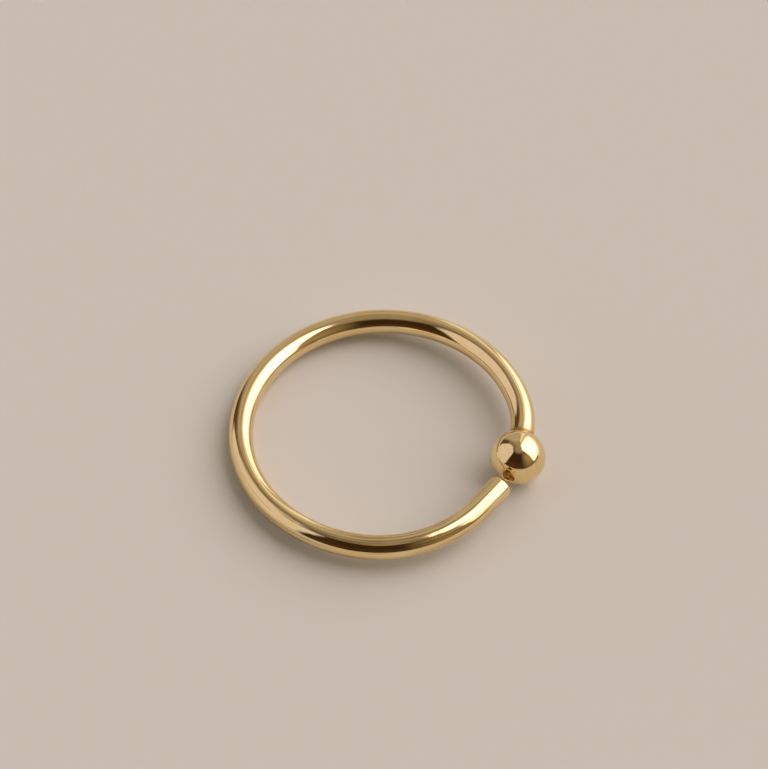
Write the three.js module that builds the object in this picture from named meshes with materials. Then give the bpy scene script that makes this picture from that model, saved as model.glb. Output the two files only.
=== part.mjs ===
// A ball-end hoop nose ring: one round gold wire bent into a hoop, with a solid
// gold ball soldered on one end. The free end stands just clear of the ball and
// faces a shallow round cup in it, where it seats when the hoop is closed.
// Millimetres, +Z up. The ring lies on its side as it rests on a table, with
// the ball on its +X side. The origin is under the middle of its box.

import * as THREE from 'three';
import { mergeVertices } from 'three/addons/utils/BufferGeometryUtils.js';

// Driving dimensions
const INSIDE_DIAMETER = 8.5;
const WIRE_DIAMETER = 0.81;
const BALL_DIAMETER = 1.8;
const CUP_DIAMETER = 0.44;
const CUP_BURR_RADIUS = 0.23;
const CUP_RIM_ROUND = 0.03;
const SOLDER_FILLET = 0.13;
const END_ROUND = 0.15;

// How the two ends of the wire are bent in from the true round
const STUB_BEYOND_BALL = 0.115;
const BALL_END_BEND = { radius: 3.25, turn: 24.9 };
const HOOP_TURN = 248.9;
const FREE_END_BEND = { radius: 4.05, turn: 55.7 };
const FREE_END_STRAIGHT = 1.25;
const BALL_END_HEADING = 95.3;
const CUP_HEADING = 80.5;

// Fineness of the faceted solid
const SIDES = 28;
const CUP_STEPS = 5;
const RIM_STEPS = 3;
const BALL_STEPS = 16;
const FILLET_STEPS = 3;
const WIRE_STEPS = 72;
const END_STEPS = 3;

const wireRadius = WIRE_DIAMETER / 2;
const ballRadius = BALL_DIAMETER / 2;
const hoopRadius = (INSIDE_DIAMETER + WIRE_DIAMETER) / 2;
const cupRimRadius = CUP_DIAMETER / 2;
const cupRimAt = -Math.sqrt(ballRadius ** 2 - cupRimRadius ** 2);

// The centreline's legs, in order from the ball's centre to the free end
const LEGS = [
  straightLeg(ballRadius + STUB_BEYOND_BALL),
  bentLeg(BALL_END_BEND.radius, BALL_END_BEND.turn),
  bentLeg(hoopRadius, HOOP_TURN),
  bentLeg(FREE_END_BEND.radius, FREE_END_BEND.turn),
  straightLeg(FREE_END_STRAIGHT),
];
const wireLength = LEGS.reduce((sum, leg) => sum + leg.length, 0);

function straightLeg(length) {
  return { length, radius: Infinity };
}

function bentLeg(radius, turn) {
  return { length: radius * THREE.MathUtils.degToRad(turn), radius };
}

// The place and heading of the centreline at a distance along the wire from
// the ball's centre, which is at zero
function onWire(distance) {
  const place = new THREE.Vector2(0, 0);
  let heading = THREE.MathUtils.degToRad(BALL_END_HEADING);
  let left = distance;
  for (const leg of LEGS) {
    const run = Math.min(left, leg.length);
    const turn = run / leg.radius;
    const chord = turn === 0 ? run : 2 * leg.radius * Math.sin(turn / 2);
    place.x += chord * Math.cos(heading + turn / 2);
    place.y += chord * Math.sin(heading + turn / 2);
    heading += turn;
    left -= run;
  }
  return { place, heading };
}

// Behind the ball's centre each ring of the ball is turned about that centre,
// so that the cup faces the free end while the ball stays a true sphere
function behindBallCentre(distance) {
  const turned = Math.min(distance / cupRimAt, 1);
  const degrees = THREE.MathUtils.lerp(BALL_END_HEADING, CUP_HEADING, turned);
  const heading = THREE.MathUtils.degToRad(degrees);
  const place = new THREE.Vector2(Math.cos(heading), Math.sin(heading));
  return { place: place.multiplyScalar(distance), heading };
}

function steps(count, from, to, makePoint) {
  return Array.from({ length: count }, (_, i) =>
    makePoint(THREE.MathUtils.lerp(from, to, i / count)));
}

// A point on an arc: x is the radius, y is the distance along the wire
function onArc(centreRadius, centreAlong, arcRadius, angle) {
  const x = centreRadius + arcRadius * Math.sin(angle);
  return new THREE.Vector2(x, centreAlong + arcRadius * Math.cos(angle));
}

// The outline from the bottom of the cup, over its rounded rim, the ball and the
// solder fillet, along the wire and round its softened end. Angles are from the
// direction of the wire.
function outline() {
  const burrCentre = cupRimAt - Math.sqrt(CUP_BURR_RADIUS ** 2 - cupRimRadius ** 2);
  const rimInsideBall = ballRadius - CUP_RIM_ROUND;
  const rimOutsideBurr = CUP_BURR_RADIUS + CUP_RIM_ROUND;
  const rimCentreAlong =
    (rimInsideBall ** 2 - rimOutsideBurr ** 2 + burrCentre ** 2) / (2 * burrCentre);
  const rimCentreRadius = Math.sqrt(rimInsideBall ** 2 - rimCentreAlong ** 2);
  const cupEdge = Math.atan2(rimCentreRadius, rimCentreAlong - burrCentre);
  const ballStart = Math.atan2(rimCentreRadius, rimCentreAlong);
  const filletRadialCentre = wireRadius + SOLDER_FILLET;
  const filletReach = ballRadius + SOLDER_FILLET;
  const filletEnd = Math.sqrt(filletReach ** 2 - filletRadialCentre ** 2);
  const filletAngle = Math.atan2(filletRadialCentre, filletEnd);
  const endAt = wireLength - END_ROUND;
  const endFlatRadius = wireRadius - END_ROUND;

  const cup = steps(CUP_STEPS, 0, cupEdge, (a) => onArc(0, burrCentre, CUP_BURR_RADIUS, a));
  const rim = steps(RIM_STEPS, cupEdge + Math.PI, ballStart, (a) =>
    onArc(rimCentreRadius, rimCentreAlong, CUP_RIM_ROUND, a));
  const ball = steps(BALL_STEPS, ballStart, filletAngle, (a) => onArc(0, 0, ballRadius, a));
  const fillet = steps(FILLET_STEPS, filletAngle, Math.PI / 2, (a) =>
    onArc(filletRadialCentre, filletEnd, -SOLDER_FILLET, a));
  const wire = steps(WIRE_STEPS, filletEnd, endAt, (y) => new THREE.Vector2(wireRadius, y));
  const end = steps(END_STEPS, Math.PI / 2, 0, (a) => onArc(endFlatRadius, endAt, END_ROUND, a));
  const flat = [new THREE.Vector2(endFlatRadius, wireLength), new THREE.Vector2(0, wireLength)];
  return [...cup, ...rim, ...ball, ...fillet, ...wire, ...end, ...flat];
}

// The wire with its ball is turned straight, then bent along its centreline
function bentWireWithBall() {
  const straight = new THREE.LatheGeometry(outline(), SIDES);
  straight.deleteAttribute('normal');
  straight.deleteAttribute('uv');
  const geometry = mergeVertices(straight);
  const position = geometry.getAttribute('position');
  for (let i = 0; i < position.count; i += 1) {
    const along = position.getY(i);
    const { place, heading } = along < 0 ? behindBallCentre(along) : onWire(along);
    const outward = position.getX(i);
    const x = place.x + outward * Math.sin(heading);
    const y = place.y - outward * Math.cos(heading);
    position.setXYZ(i, x, y, position.getZ(i));
  }
  geometry.computeVertexNormals();
  return geometry;
}

const gold = new THREE.MeshStandardMaterial({ color: 0xd8ab5c, roughness: 0.12, metalness: 1 });
const ring = new THREE.Mesh(bentWireWithBall(), gold);
ring.name = 'ball_end_hoop';

// It rests on the ball and on the wire opposite, so the hoop tilts a little
const hoopStart = onWire(LEGS[0].length + LEGS[1].length);
const hoopCentreX = hoopStart.place.x - hoopRadius * Math.sin(hoopStart.heading);
const restSpan = hoopRadius - hoopCentreX;
ring.rotation.y = -Math.asin((ballRadius - wireRadius) / restSpan);
ring.updateMatrixWorld(true);
const box = new THREE.Box3().setFromObject(ring, true);
const middle = box.getCenter(new THREE.Vector3());
ring.position.set(-middle.x, -middle.y, -box.min.z);

const group = new THREE.Group();
group.add(ring);
export default group;
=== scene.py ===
import math

import bpy
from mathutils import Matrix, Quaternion, Vector, noise


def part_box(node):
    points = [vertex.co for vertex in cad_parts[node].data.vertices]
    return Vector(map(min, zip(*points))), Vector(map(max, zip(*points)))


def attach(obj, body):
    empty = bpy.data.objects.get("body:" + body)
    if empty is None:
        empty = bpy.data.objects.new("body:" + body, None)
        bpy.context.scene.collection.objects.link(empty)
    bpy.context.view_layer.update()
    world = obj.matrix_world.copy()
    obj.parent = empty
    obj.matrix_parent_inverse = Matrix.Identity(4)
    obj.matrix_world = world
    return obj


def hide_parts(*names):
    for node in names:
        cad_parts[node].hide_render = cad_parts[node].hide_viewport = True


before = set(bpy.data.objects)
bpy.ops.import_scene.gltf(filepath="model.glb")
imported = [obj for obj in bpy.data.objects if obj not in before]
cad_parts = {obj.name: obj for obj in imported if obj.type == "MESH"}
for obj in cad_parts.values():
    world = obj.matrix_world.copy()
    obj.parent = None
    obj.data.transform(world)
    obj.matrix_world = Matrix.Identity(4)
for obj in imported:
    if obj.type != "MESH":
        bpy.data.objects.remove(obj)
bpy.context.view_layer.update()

# ---------------------------------------------------------------------------
# Camera. A long lens looks down at the ring from in front and a little from
# the ball's side, and aims just past the middle of the hoop.
# ---------------------------------------------------------------------------
MM = 0.001
WIRE_RADIUS = 0.405 * MM
BALL_RADIUS = 0.9 * MM
HOOP_RADIUS = 4.655 * MM
ring_low, ring_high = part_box("ball_end_hoop")
ball_centre = Vector((ring_high.x - BALL_RADIUS, 0, BALL_RADIUS))
far_wire = Vector((ring_low.x + WIRE_RADIUS, 0, WIRE_RADIUS))
lie = math.atan2(ball_centre.z - far_wire.z, ball_centre.x - far_wire.x)
hoop_across = Vector((math.cos(lie), 0, math.sin(lie)))
hoop_centre = far_wire + hoop_across * HOOP_RADIUS

CAMERA_AZIMUTH = math.radians(11.3)
CAMERA_ELEVATION = math.radians(52.54)
CAMERA_ROLL = math.radians(3.6)
CAMERA_DISTANCE = 103.6 * MM
PAST_MIDDLE = Vector((-0.44, 1.90, -0.02)) * MM
LENS, SENSOR_WIDTH = 146.25, 36
NEAREST_SEEN, FARTHEST_SEEN = 0.005, 10

aim = hoop_centre + PAST_MIDDLE
back = Vector((
    math.sin(CAMERA_AZIMUTH) * math.cos(CAMERA_ELEVATION),
    -math.cos(CAMERA_AZIMUTH) * math.cos(CAMERA_ELEVATION),
    math.sin(CAMERA_ELEVATION),
))
camera = bpy.data.objects.new("camera", bpy.data.cameras.new("camera"))
camera.data.lens = LENS
camera.data.sensor_width = SENSOR_WIDTH
camera.data.clip_start = NEAREST_SEEN
camera.data.clip_end = FARTHEST_SEEN
camera.location = aim + back * CAMERA_DISTANCE
camera.rotation_mode = "QUATERNION"
level = back.to_track_quat("Z", "Y")
camera.rotation_quaternion = level @ Quaternion((0, 0, 1), CAMERA_ROLL)
bpy.context.scene.collection.objects.link(camera)
bpy.context.scene.camera = camera
bpy.context.scene.view_settings.view_transform = "Standard"

# ---------------------------------------------------------------------------
# Light tent. A big white softbox stands behind on the ball's side and a cream
# card on the left. The room in front is dark, which gives the gold its depth.
# ---------------------------------------------------------------------------
NUMBER = "NodeSocketFloat"
VECTOR = "NodeSocketVector"
# the colour sockets of a Mix node
MIX_FIRST, MIX_SECOND, MIX_RESULT = 6, 7, 2


def group_with(name, inputs, outputs):
    """An empty node group with named sockets, and its two ends."""
    group = bpy.data.node_groups.new(name, "ShaderNodeTree")
    for socket_name, kind in inputs:
        group.interface.new_socket(socket_name, in_out="INPUT", socket_type=kind)
    for socket_name, kind in outputs:
        group.interface.new_socket(socket_name, in_out="OUTPUT", socket_type=kind)
    group_in = group.nodes.new("NodeGroupInput")
    group_out = group.nodes.new("NodeGroupOutput")
    return group, group_in.outputs, group_out.inputs


def feed(tree, socket, value):
    """Links a socket to an output, or sets it to a plain value."""
    if isinstance(value, bpy.types.NodeSocket):
        tree.links.new(value, socket)
    else:
        socket.default_value = value


def calculate(tree, operation, *values, clamp=False):
    """One Math node, fed with outputs or plain numbers."""
    node = tree.nodes.new("ShaderNodeMath")
    node.operation = operation
    node.use_clamp = clamp
    for socket, value in zip(node.inputs, values):
        feed(tree, socket, value)
    return node.outputs[0]


def mix_colours(tree, blend, factor, first, second):
    """One colour Mix node, from the first colour to the second by the factor."""
    node = tree.nodes.new("ShaderNodeMix")
    node.data_type = "RGBA"
    node.blend_type = blend
    feed(tree, node.inputs["Factor"], factor)
    feed(tree, node.inputs[MIX_FIRST], first)
    feed(tree, node.inputs[MIX_SECOND], second)
    return node.outputs[MIX_RESULT]


def place_group(tree, group, **values):
    """A copy of a node group in a tree; underscores stand for spaces in socket names."""
    node = tree.nodes.new("ShaderNodeGroup")
    node.node_tree = group
    for name, value in values.items():
        feed(tree, node.inputs[name.replace("_", " ")], value)
    return node.outputs


panel_group, asked, mask_out = group_with(
    "light panel",
    [("Azimuth", NUMBER), ("Elevation", NUMBER), ("Centre azimuth", NUMBER),
     ("Centre elevation", NUMBER), ("Half width", NUMBER), ("Half height", NUMBER),
     ("Corner", NUMBER), ("Soft edge", NUMBER)],
    [("Mask", NUMBER)],
)
across = calculate(panel_group, "SUBTRACT", asked["Azimuth"], asked["Centre azimuth"])
across = calculate(panel_group, "WRAP", across, 180.0, -180.0)
upward = calculate(panel_group, "SUBTRACT", asked["Elevation"], asked["Centre elevation"])
past_corner = []
for half, off in (("Half width", across), ("Half height", upward)):
    straight_part = calculate(panel_group, "SUBTRACT", asked[half], asked["Corner"])
    off = calculate(panel_group, "ABSOLUTE", off)
    off = calculate(panel_group, "SUBTRACT", off, straight_part)
    off = calculate(panel_group, "MAXIMUM", off, 0.0)
    past_corner.append(calculate(panel_group, "POWER", off, 2.0))
from_corner = calculate(panel_group, "SQRT", calculate(panel_group, "ADD", *past_corner))
inside = calculate(panel_group, "SUBTRACT", asked["Corner"], from_corner)
inside = calculate(panel_group, "DIVIDE", inside, asked["Soft edge"])
inside = calculate(panel_group, "ADD", inside, 0.5, clamp=True)
panel_group.links.new(inside, mask_out["Mask"])

studio = bpy.data.worlds.new("light_tent")
studio.use_nodes = True
bpy.context.scene.world = studio
tent = studio.node_tree
toward = tent.nodes.new("ShaderNodeSeparateXYZ")
tent.links.new(tent.nodes.new("ShaderNodeTexCoord").outputs["Generated"], toward.inputs[0])
to_front = calculate(tent, "MULTIPLY", toward.outputs["Y"], -1.0)
azimuth = calculate(tent, "DEGREES", calculate(tent, "ARCTAN2", toward.outputs["X"], to_front))
elevation = calculate(tent, "DEGREES", calculate(tent, "ARCSINE", toward.outputs["Z"]))

# where each panel is in degrees, azimuth 0 in front and 90 on the ball's side:
# middle azimuth and elevation, half width and height, corner, soft edge; then its colour
PANELS = [
    ("softbox", (126.5, 44, 47.5, 34, 10, 3), (1.6, 1.37, 1.38)),
    ("softbox middle", (124, 46, 36, 29, 16, 18), (2.8, 2.35, 2.4)),
    ("sill", (142, 5, 34, 6, 5, 6), (1.0, 0.88, 0.78)),
    ("cream card", (-78, 31, 37.5, 35, 22, 5), (0.73, 0.65, 0.65)),
    ("ceiling", (0, 90, 360, 19, 12, 12), (0.30, 0.25, 0.185)),
    ("back wall", (-160, 45, 29, 42, 12, 12), (0.34, 0.285, 0.22)),
    ("back wall low", (-162, 26, 27, 27, 12, 12), (0.47, 0.41, 0.335)),
    ("doorway", (-178, 28, 4, 34, 3, 5), (0.95, 0.86, 0.74)),
    ("wall above the card", (-125, 54, 20, 18, 10, 14), (0.25, 0.19, 0.11)),
    ("curtain", (-125, 22, 14, 36, 8, 8), (0.095, 0.055, 0.020)),
    ("side wall", (70, 36, 26, 28, 18, 34), (0.34, 0.26, 0.15)),
    ("chair in front", (5, 14, 40, 12, 8, 14), (0.066, 0.034, 0.015)),
    ("far table", (0, 0, 360, 3.6, 2, 2), (0.50, 0.45, 0.39)),
]
# the dark room between the panels, and the plain backdrop behind the table
ROOM = (0.041, 0.021, 0.010, 1)
BACKDROP = (0.59, 0.505, 0.44, 1)
light = ROOM
for name, place, colour in PANELS:
    middle_azimuth, middle_elevation, half_width, half_height, corner, soft_edge = place
    panel = place_group(
        tent, panel_group, Azimuth=azimuth, Elevation=elevation,
        Centre_azimuth=middle_azimuth, Centre_elevation=middle_elevation,
        Half_width=half_width, Half_height=half_height, Corner=corner, Soft_edge=soft_edge)
    light = mix_colours(tent, "LIGHTEN", panel["Mask"], light, (*colour, 1))
lit = tent.nodes["Background"]
tent.links.new(light, lit.inputs["Color"])
backdrop = tent.nodes.new("ShaderNodeBackground")
backdrop.inputs["Color"].default_value = BACKDROP
choose = tent.nodes.new("ShaderNodeMixShader")
tent.links.new(tent.nodes.new("ShaderNodeLightPath").outputs["Is Camera Ray"], choose.inputs["Fac"])
tent.links.new(lit.outputs[0], choose.inputs[1])
tent.links.new(backdrop.outputs[0], choose.inputs[2])
tent.links.new(choose.outputs[0], tent.nodes["World Output"].inputs["Surface"])

# ---------------------------------------------------------------------------
# Table. A plain pale matte top, much wider than the view. The ring lies loose
# on it, and it is no part of the ring.
# ---------------------------------------------------------------------------
TABLE_RADIUS = 2.0
TABLE_SIDES = 64
TABLE_COLOUR = (0.69, 0.70, 0.62, 1)
TABLE_ROUGHNESS = 0.9
TABLE_SHINE = 0.2
table_mesh = bpy.data.meshes.new("table")
table_mesh.from_pydata(
    [(TABLE_RADIUS * math.cos(a), TABLE_RADIUS * math.sin(a), 0)
     for a in (math.tau * i / TABLE_SIDES for i in range(TABLE_SIDES))],
    [], [list(range(TABLE_SIDES))])
table = bpy.data.objects.new("table", table_mesh)
bpy.context.scene.collection.objects.link(table)
table_paint = bpy.data.materials.new("matte table")
table_paint.use_nodes = True
matte = table_paint.node_tree.nodes["Principled BSDF"]
matte.inputs["Base Color"].default_value = TABLE_COLOUR
matte.inputs["Roughness"].default_value = TABLE_ROUGHNESS
matte.inputs["Specular IOR Level"].default_value = TABLE_SHINE
table_mesh.materials.append(table_paint)

# ---------------------------------------------------------------------------
# The hoop and its ball. Round 14 carat gold wire is bent round a mandrel, with
# a solid gold ball soldered on one end. The other end is cut square and its
# edge burnished, and it faces a cup that a round burr leaves in the ball.
# ---------------------------------------------------------------------------
CUP_RIM_RADIUS = 0.22 * MM
CUP_BURR_RADIUS = 0.23 * MM
CUP_RIM_ROUND = 0.03 * MM
SOLDER_FILLET = 0.13 * MM
END_ROUND = 0.15 * MM
BALL_END_HEADING = math.radians(95.3)
CUP_HEADING = math.radians(80.5)
STUB_BEYOND_BALL = 0.115 * MM
FREE_END_STRAIGHT = 1.25 * MM


def bend(radius, degrees):
    """A leg that is bent to a radius: its length, and how far it turns."""
    return radius * math.radians(degrees), math.radians(degrees)


# the centreline's legs from the ball's centre: length, and how far it turns
LEGS = [
    (BALL_RADIUS + STUB_BEYOND_BALL, 0.0),
    bend(3.25 * MM, 24.9),
    bend(HOOP_RADIUS, 248.9),
    bend(4.05 * MM, 55.7),
    (FREE_END_STRAIGHT, 0.0),
]
WIRE_END = sum(length for length, turn in LEGS)
CUP_RIM_AT = -math.sqrt(BALL_RADIUS ** 2 - CUP_RIM_RADIUS ** 2)
FILLET_OUT = WIRE_RADIUS + SOLDER_FILLET
FILLET_END = math.sqrt((BALL_RADIUS + SOLDER_FILLET) ** 2 - FILLET_OUT ** 2)
# the mesh's sides round the wire, and its rings in each part of the outline from the cup
# to the wire's end
SIDES = 120
CUP_RINGS, RIM_RINGS, BALL_RINGS, FILLET_RINGS = 16, 10, 140, 12
WIRE_RINGS, END_EDGE_RINGS, END_FACE_RINGS = 530, 10, 6


def on_wire(distance):
    """Place and heading of the centreline, from the ball's centre along the wire."""
    x, y, heading = 0.0, 0.0, BALL_END_HEADING
    for length, turn in LEGS:
        run = min(distance, length)
        turned = turn * run / length
        chord = run if turned == 0 else run / turned * 2 * math.sin(turned / 2)
        x += chord * math.cos(heading + turned / 2)
        y += chord * math.sin(heading + turned / 2)
        heading += turned
        distance -= run
    return x, y, heading


def behind_ball_centre(distance):
    """Each ring of the ball's far half is turned about the ball's centre."""
    share = min(distance / CUP_RIM_AT, 1.0)
    heading = BALL_END_HEADING + (CUP_HEADING - BALL_END_HEADING) * share
    return distance * math.cos(heading), distance * math.sin(heading), heading


def spread(count, start, stop, make_point):
    """Evenly spaced points from start up to just before stop."""
    return [make_point(start + (stop - start) * i / count) for i in range(count)]


def on_arc(centre_radius, centre_along, arc_radius):
    """A point on an arc for an angle from the wire's direction: radius, distance along."""
    return lambda angle: (centre_radius + arc_radius * math.sin(angle),
                          centre_along + arc_radius * math.cos(angle))


def outline():
    """Radius and distance along the wire, from the cup's floor to the wire's end."""
    burr_centre = CUP_RIM_AT - math.sqrt(CUP_BURR_RADIUS ** 2 - CUP_RIM_RADIUS ** 2)
    inside_ball = BALL_RADIUS - CUP_RIM_ROUND
    outside_burr = CUP_BURR_RADIUS + CUP_RIM_ROUND
    rim_along = (inside_ball ** 2 - outside_burr ** 2 + burr_centre ** 2) / (2 * burr_centre)
    rim_radius = math.sqrt(inside_ball ** 2 - rim_along ** 2)
    cup_edge = math.atan2(rim_radius, rim_along - burr_centre)
    ball_start = math.atan2(rim_radius, rim_along)
    fillet_start = math.atan2(FILLET_OUT, FILLET_END)
    end_start = WIRE_END - END_ROUND
    end_flat = WIRE_RADIUS - END_ROUND
    # the first ring's angle and the last ring's radius, just off the axis: a flat face closes each
    cup_floor, near_axis = 0.02, 0.01 * MM
    cup = on_arc(0, burr_centre, CUP_BURR_RADIUS)
    rim = on_arc(rim_radius, rim_along, CUP_RIM_ROUND)
    ball = on_arc(0, 0, BALL_RADIUS)
    fillet = on_arc(FILLET_OUT, FILLET_END, -SOLDER_FILLET)
    end_edge = on_arc(end_flat, end_start, END_ROUND)
    points = spread(CUP_RINGS, cup_floor, cup_edge, cup)
    points += spread(RIM_RINGS, cup_edge + math.pi, ball_start, rim)
    points += spread(BALL_RINGS, ball_start, fillet_start, ball)
    points += spread(FILLET_RINGS, fillet_start, math.pi / 2, fillet)
    points += spread(WIRE_RINGS, FILLET_END, end_start, lambda along: (WIRE_RADIUS, along))
    points += spread(END_EDGE_RINGS, math.pi / 2, 0, end_edge)
    points += spread(END_FACE_RINGS, end_flat, near_axis, lambda radius: (radius, WIRE_END))
    return points


# Drawing, bending and buffing leave the wire and the ball a little out of true:
# how much of the radius goes, and how far apart the waves and the facets are
WIRE_UNEVEN = 0.010
BALL_UNEVEN = 0.005
BALL_WAVE = 0.9 * MM
WIRE_WAVE_ACROSS, WIRE_WAVE_ALONG = 0.55 * MM, 2.2 * MM
FACET_ACROSS, FACET_ALONG = 0.2 * MM, 1.5 * MM
WAVE_SHARE, FACET_SHARE = 0.42, 0.08
# a nick that the burr left beside the cup: middle and half sizes across it, and depth
NICK_MIDDLE = Vector((0.026, 0.388)) * MM
NICK_TILT = math.radians(-22)
NICK_HALF = (0.090 * MM, 0.040 * MM)
NICK_DEPTH = 0.060


def in_nick(out, along, up):
    """How deep in the nick a place is, from 0 outside it to 1 at its middle."""
    if along > 0:
        return 0.0
    across_x, across_y = out - NICK_MIDDLE.x, up - NICK_MIDDLE.y
    lengthwise = across_x * math.cos(NICK_TILT) + across_y * math.sin(NICK_TILT)
    sideways = across_y * math.cos(NICK_TILT) - across_x * math.sin(NICK_TILT)
    outside = (lengthwise / NICK_HALF[0]) ** 2 + (sideways / NICK_HALF[1]) ** 2
    return max(0.0, 1 - outside)


def worn_back(out, along, up):
    """The share of its radius that polishing has left at a place on the straight wire."""
    if along < FILLET_END:
        wave = noise.noise(Vector((out, along, up)) / BALL_WAVE)
        return 1 - BALL_UNEVEN * (0.5 + 0.5 * wave)
    wave = noise.noise(Vector((
        out / WIRE_WAVE_ACROSS, along / WIRE_WAVE_ALONG, up / WIRE_WAVE_ACROSS)))
    facet = noise.noise(Vector((out / FACET_ACROSS, along / FACET_ALONG, up / FACET_ACROSS)))
    return 1 - WIRE_UNEVEN * (0.5 + WAVE_SHARE * wave + FACET_SHARE * facet)


# Brown polish and painted shade stay in the cup up to an edge that is wiped clean, in the lower
# half of the nick, and in a ring round the solder joint: the shade of these hollows is painted in
CUP_WIPED_EDGE = 0.3 * CUP_RIM_ROUND
NICK_POLISH_AND_SHADE = 2
JOINT_MIDDLE = FILLET_END - 0.05 * MM
JOINT_HALF = 0.16 * MM
# The draw plate's lines show most from here to the free end, where less is buffed away
LINES_FROM, LINES_FULL = 15.5 * MM, 20.0 * MM
LINES_LEAST = 0.25

profile = outline()
vertices, straight, corners, drawn = [], [], [], []
for radius, along in profile:
    x, y, heading = behind_ball_centre(along) if along < 0 else on_wire(along)
    in_cup = along < 0 and radius < CUP_RIM_RADIUS - CUP_WIPED_EDGE
    corner = 1.0 if in_cup else max(0.0, 1 - ((along - JOINT_MIDDLE) / JOINT_HALF) ** 2)
    unbuffed = min(max((along - LINES_FROM) / (LINES_FULL - LINES_FROM), 0.0), 1.0)
    for side in range(SIDES):
        around = math.tau * side / SIDES
        out, up = radius * math.cos(around), radius * math.sin(around)
        nick = in_nick(out, along, up)
        left = worn_back(out, along, up)
        out, up = out * left, up * left
        on_ring = Vector((x + out * math.sin(heading), y - out * math.cos(heading), up))
        vertices.append(on_ring * (1 - NICK_DEPTH * nick))
        straight.append((out / MM, along / MM, up / MM))
        # where polish and painted shade darken the hollows
        corners.append(max(corner, min(NICK_POLISH_AND_SHADE * nick, 1.0) ** 2))
        drawn.append(LINES_LEAST + (1 - LINES_LEAST) * unbuffed)
faces = []
for ring in range(len(profile) - 1):
    first, second = ring * SIDES, (ring + 1) * SIDES
    for side in range(SIDES):
        after = (side + 1) % SIDES
        faces.append((first + side, second + side, second + after, first + after))
faces.append(tuple(range(SIDES)))
last = (len(profile) - 1) * SIDES
faces.append(tuple(reversed(range(last, last + SIDES))))
to_rest = Quaternion((0, 1, 0), -lie)
hoop_mesh = bpy.data.meshes.new("hoop_with_ball")
hoop_mesh.from_pydata([to_rest @ v + ball_centre for v in vertices], [], faces)
hoop_mesh.shade_smooth()
hoop_mesh.attributes.new("straight_mm", "FLOAT_VECTOR", "POINT").data.foreach_set(
    "vector", [value for place in straight for value in place])
hoop_mesh.attributes.new("corner", "FLOAT", "POINT").data.foreach_set("value", corners)
hoop_mesh.attributes.new("drawn", "FLOAT", "POINT").data.foreach_set("value", drawn)
hoop = bpy.data.objects.new("hoop_with_ball", hoop_mesh)
bpy.context.scene.collection.objects.link(hoop)


def noise_texture(tree, place, scale, detail, roughness=0.5):
    """One noise texture that is fixed to the metal."""
    node = tree.nodes.new("ShaderNodeTexNoise")
    tree.links.new(place, node.inputs["Vector"])
    feed(tree, node.inputs["Scale"], scale)
    node.inputs["Detail"].default_value = detail
    node.inputs["Roughness"].default_value = roughness
    return node.outputs["Fac"]


def ramp(tree, value, from_low, from_high, to_low=0.0, to_high=1.0):
    """A value's range spread smoothly over another range."""
    node = tree.nodes.new("ShaderNodeMapRange")
    node.interpolation_type = "SMOOTHSTEP"
    tree.links.new(value, node.inputs["Value"])
    node.inputs["From Min"].default_value = from_low
    node.inputs["From Max"].default_value = from_high
    node.inputs["To Min"].default_value = to_low
    node.inputs["To Max"].default_value = to_high
    return node.outputs["Result"]


# Fine lines from the draw plate and the buff. They run long where the place is squeezed,
# and they come and go in worn patches.
lines_group, asked, given = group_with(
    "buffing lines",
    [("Place", VECTOR), ("Squeeze", VECTOR), ("Lines per mm", NUMBER), ("Patches per mm", NUMBER),
     ("Strength", NUMBER)],
    [("Height", NUMBER), ("Lines", NUMBER)],
)
squeezed = lines_group.nodes.new("ShaderNodeVectorMath")
squeezed.operation = "MULTIPLY"
lines_group.links.new(asked["Place"], squeezed.inputs[0])
lines_group.links.new(asked["Squeeze"], squeezed.inputs[1])
ridges = noise_texture(lines_group, squeezed.outputs[0], asked["Lines per mm"], detail=1)
patches = noise_texture(lines_group, asked["Place"], asked["Patches per mm"], detail=2)
patches = ramp(lines_group, patches, from_low=0.3, from_high=0.55, to_low=0.45)
patches = calculate(lines_group, "MULTIPLY", patches, asked["Strength"])
lines_group.links.new(calculate(lines_group, "MULTIPLY", ridges, patches), given["Height"])
scored = ramp(lines_group, ridges, from_low=0.55, from_high=0.60)
lines_group.links.new(calculate(lines_group, "MULTIPLY", scored, patches), given["Lines"])

# A faint greasy bloom from handling, in blotches with a fine broken edge
haze_group, asked, given = group_with(
    "finger haze", [("Place", VECTOR), ("Blotches per mm", NUMBER)], [("Haze", NUMBER)])
blotches = noise_texture(
    haze_group, asked["Place"], asked["Blotches per mm"], detail=5, roughness=0.62)
haze_group.links.new(ramp(haze_group, blotches, from_low=0.45, from_high=0.68), given["Haze"])

# Brown polish that the buff packs into the cup, the nick and the solder joint, with the shade
# of these hollows painted in as well
residue_and_shade_group, asked, given = group_with(
    "polish left in corners", [("Place", VECTOR), ("Corner", NUMBER), ("Grains per mm", NUMBER)],
    [("Residue and shade", NUMBER)])
grains = noise_texture(
    residue_and_shade_group, asked["Place"], asked["Grains per mm"], detail=4, roughness=0.6)
grains = ramp(residue_and_shade_group, grains, from_low=0.3, from_high=0.7, to_low=0.75)
residue_and_shade_group.links.new(calculate(residue_and_shade_group, "MULTIPLY", grains, asked["Corner"]), given["Residue and shade"])

# the gold's two tones, the duller gold down in a line, and the brown of polish with painted
# shade in the hollows
CLEAN_GOLD = (0.95, 0.76, 0.43, 1)
DEEP_GOLD = (0.92, 0.70, 0.36, 1)
LINE_GOLD = (0.52, 0.39, 0.20, 1)
POLISH_AND_SHADE_BROWN = (0.33, 0.17, 0.025, 1)
MIRROR_ROUGHNESS = 0.055
POLISH_ROUGHNESS = 0.45
GRAINS_PER_MM = 14.0
PATCHES_PER_MM = 0.9
TONES_PER_MM = 0.7


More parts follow.
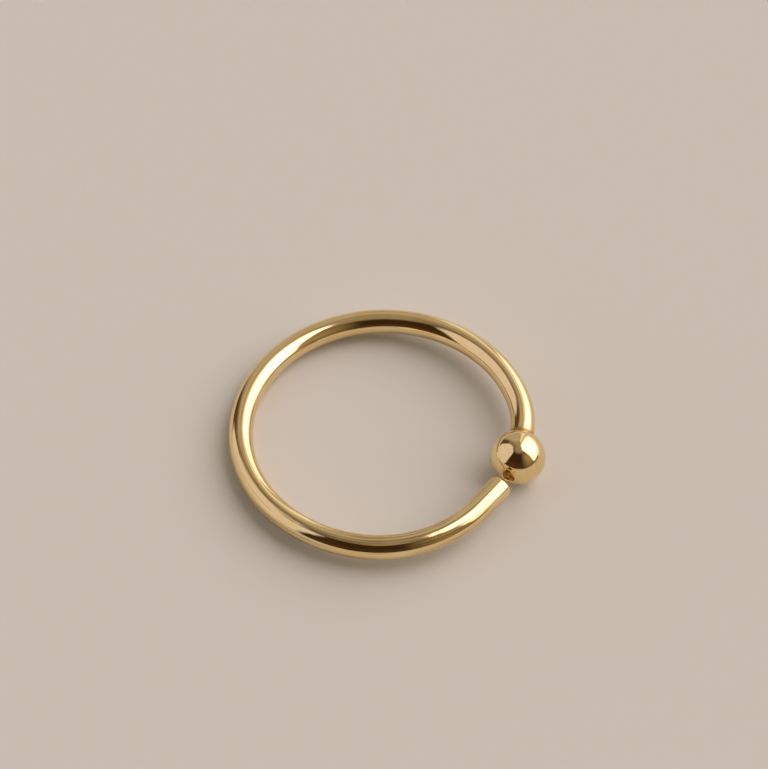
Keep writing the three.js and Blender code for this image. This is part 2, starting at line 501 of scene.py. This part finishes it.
def gold(name, squeezes, lines_per_mm, line_height, line_roughness, line_colour, haze_roughness,
         blotches_per_mm):
    """Polished gold with its lines, haze, and polish residue with painted shade in the hollows."""
    material = bpy.data.materials.new(name)
    material.use_nodes = True
    tree = material.node_tree
    metal = tree.nodes["Principled BSDF"]
    place = tree.nodes.new("ShaderNodeAttribute")
    place.attribute_name = "straight_mm"
    corner = tree.nodes.new("ShaderNodeAttribute")
    corner.attribute_name = "corner"
    drawn = tree.nodes.new("ShaderNodeAttribute")
    drawn.attribute_name = "drawn"
    place = place.outputs["Vector"]
    sets = [
        place_group(tree, lines_group, Place=place, Squeeze=squeeze, Lines_per_mm=lines_per_mm,
                    Patches_per_mm=PATCHES_PER_MM, Strength=drawn.outputs["Fac"])
        for squeeze in squeezes]
    height, lines = sets[0]["Height"], sets[0]["Lines"]
    for more in sets[1:]:
        height = calculate(tree, "ADD", height, more["Height"])
        lines = calculate(tree, "MAXIMUM", lines, more["Lines"])
    haze = place_group(tree, haze_group, Place=place, Blotches_per_mm=blotches_per_mm)["Haze"]
    residue_and_shade = place_group(tree, residue_and_shade_group, Place=place, Corner=corner.outputs["Fac"],
                          Grains_per_mm=GRAINS_PER_MM)["Residue and shade"]

    tone = noise_texture(tree, place, TONES_PER_MM, detail=2)
    tone = ramp(tree, tone, from_low=0.35, from_high=0.65)
    colour = mix_colours(tree, "MIX", tone, CLEAN_GOLD, DEEP_GOLD)
    tinted = calculate(tree, "MULTIPLY", lines, line_colour)
    colour = mix_colours(tree, "MIX", tinted, colour, LINE_GOLD)
    # polish and painted shade turn the hollows brown here
    colour = mix_colours(tree, "MIX", residue_and_shade, colour, POLISH_AND_SHADE_BROWN)
    tree.links.new(colour, metal.inputs["Base Color"])
    rough = calculate(tree, "MULTIPLY_ADD", lines, line_roughness, MIRROR_ROUGHNESS)
    rough = calculate(tree, "MULTIPLY_ADD", haze, haze_roughness, rough)
    rough = calculate(tree, "MULTIPLY_ADD", residue_and_shade, POLISH_ROUGHNESS, rough)
    tree.links.new(rough, metal.inputs["Roughness"])
    metal.inputs["Metallic"].default_value = 1.0
    bump = tree.nodes.new("ShaderNodeBump")
    bump.inputs["Distance"].default_value = line_height
    tree.links.new(height, bump.inputs["Height"])
    tree.links.new(bump.outputs["Normal"], metal.inputs["Normal"])
    return material


hoop_mesh.materials.append(gold(
    "polished gold ball", squeezes=[(0.10, 1.0, 1.0), (1.0, 0.8, 0.09)], lines_per_mm=11.0,
    line_height=0.003 * MM, line_roughness=0.04, line_colour=0.5, haze_roughness=0.05,
    blotches_per_mm=1.3))
hoop_mesh.materials.append(gold(
    "polished gold wire", squeezes=[(1.0, 0.015, 1.0)], lines_per_mm=17.0,
    line_height=0.0085 * MM, line_roughness=0.04, line_colour=0.8, haze_roughness=0.05,
    blotches_per_mm=0.8))
# the wire's own finish starts past the fillet, and the face in the cup's floor keeps the ball's
first_wire_ring = next(i for i, (radius, along) in enumerate(profile) if along >= FILLET_END)
for face in hoop_mesh.polygons[first_wire_ring * SIDES:]:
    face.material_index = 1
hoop_mesh.polygons[len(faces) - 2].material_index = 0

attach(hoop, "root")
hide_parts("ball_end_hoop")
